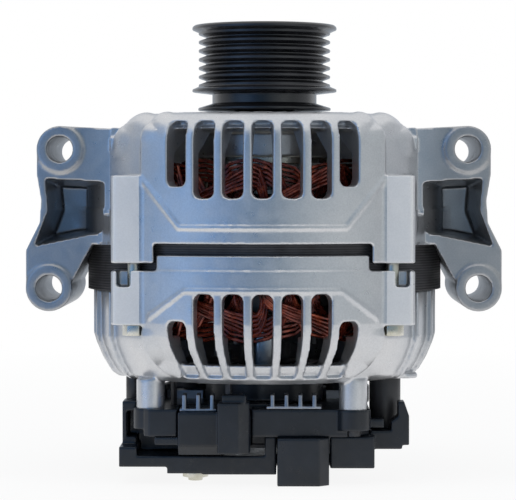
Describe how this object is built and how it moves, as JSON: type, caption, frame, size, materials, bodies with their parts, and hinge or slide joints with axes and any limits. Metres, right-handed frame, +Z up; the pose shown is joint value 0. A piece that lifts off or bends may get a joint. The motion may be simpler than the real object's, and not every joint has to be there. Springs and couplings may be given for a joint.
{
  "type": "vehicle alternator",
  "caption": "Belt driven vehicle alternator with a grooved pulley, two ribbed cast housings, mounting ears, and a regulator and rectifier under an open plastic rear frame.",
  "frame": {"origin": "centre of the overall box in plan, on the plane that the lowest points stand on; the shaft axis passes through it", "axes": "+Z up along the shaft axis towards the pulley, +X to the right along the line between the two mounting ears, +Y away from the side with the connectors"},
  "size_m": [0.189, 0.1546, 0.1834],
  "materials": {
    "cast_aluminium": "die cast, satin",
    "laminated_steel": "dark laminations",
    "copper_wire": "enamelled copper wire",
    "zinc_steel": "zinc plated",
    "bearing_steel": "ground",
    "black_paint": "gloss black",
    "rotor_iron": "dark forged",
    "black_plastic": "moulded, fine grain",
    "grey_plastic": "moulded",
    "plate_aluminium": "bare plate",
    "slip_copper": "turned copper",
    "carbon": "carbon"
  },
  "bodies": {
    "frame": {"drive_end_housing": "cast_aluminium", "rear_housing": "cast_aluminium", "stator_core": "laminated_steel", "stator_winding": "copper_wire", "front_bearing_outer_ring": "bearing_steel", "rear_bearing_outer_ring": "bearing_steel", "rear_bearing_sleeve": "grey_plastic", "retainer_plate": "zinc_steel", "retainer_screws": "zinc_steel", "through_bolt_1": "zinc_steel", "through_bolt_2": "zinc_steel", "through_bolt_3": "zinc_steel", "through_bolt_4": "zinc_steel", "regulator_housing": "black_plastic", "regulator_pins": "slip_copper", "regulator_heat_sink": "plate_aluminium", "upper_brush_spring": "bearing_steel", "lower_brush_spring": "bearing_steel", "rectifier_carrier": "black_plastic", "rectifier_fins": "plate_aluminium", "carrier_screws": "zinc_steel", "positive_plate": "plate_aluminium", "negative_plate": "plate_aluminium", "positive_diodes": "zinc_steel", "negative_diodes": "zinc_steel", "stator_leads": "slip_copper", "capacitor": "grey_plastic", "corner_post": "grey_plastic", "output_stud": "zinc_steel", "output_nut": "zinc_steel", "cover_stud": "zinc_steel", "cover_nut": "zinc_steel", "second_socket": "black_plastic", "second_socket_pins": "slip_copper", "rear_cover": "black_plastic"},
    "rotor": {"shaft": "bearing_steel", "front_claw_pole": "rotor_iron", "rear_claw_pole": "rotor_iron", "rotor_yoke": "rotor_iron", "field_bobbin": "grey_plastic", "field_coil": "copper_wire", "front_fan": "zinc_steel", "rear_fan": "zinc_steel", "spacer_sleeve": "bearing_steel", "slip_ring_hub": "grey_plastic", "upper_slip_ring": "slip_copper", "lower_slip_ring": "slip_copper", "front_bearing_inner_ring": "bearing_steel", "rear_bearing_inner_ring": "bearing_steel", "pulley": "black_paint", "pulley_nut": "zinc_steel"},
    "front_ball_set": {"front_bearing_balls": "bearing_steel", "front_bearing_cage": "grey_plastic"},
    "rear_ball_set": {"rear_bearing_balls": "bearing_steel", "rear_bearing_cage": "grey_plastic"},
    "upper_brush_body": {"upper_brush": "carbon"},
    "lower_brush_body": {"lower_brush": "carbon"}
  },
  "joints": [
    {"name": "rotor_spin", "type": "hinge", "parent": "frame", "child": "rotor", "pos_m": [0, 0, 0.09], "axis": [0, 0, 1], "continuous": true},
    {"name": "front_ball_spin", "type": "hinge", "parent": "frame", "child": "front_ball_set", "pos_m": [0, 0, 0.136], "axis": [0, 0, 1], "continuous": true},
    {"name": "rear_ball_spin", "type": "hinge", "parent": "frame", "child": "rear_ball_set", "pos_m": [0, 0, 0.0395], "axis": [0, 0, 1], "continuous": true},
    {"name": "upper_brush_slide", "type": "slide", "parent": "frame", "child": "upper_brush_body", "axis": [0, -1, 0], "range_m": [0, 0.005], "stiffness_N_per_m": 300, "springref_m": -0.008, "deforming": ["upper_brush_spring"]},
    {"name": "lower_brush_slide", "type": "slide", "parent": "frame", "child": "lower_brush_body", "axis": [0, -1, 0], "range_m": [0, 0.005], "stiffness_N_per_m": 300, "springref_m": -0.008, "deforming": ["lower_brush_spring"]}
  ],
  "couplings": [
    {"joint": "front_ball_spin", "follows": "rotor_spin", "ratio": 0.36875},
    {"joint": "rear_ball_spin", "follows": "rotor_spin", "ratio": 0.38846}
  ]
}
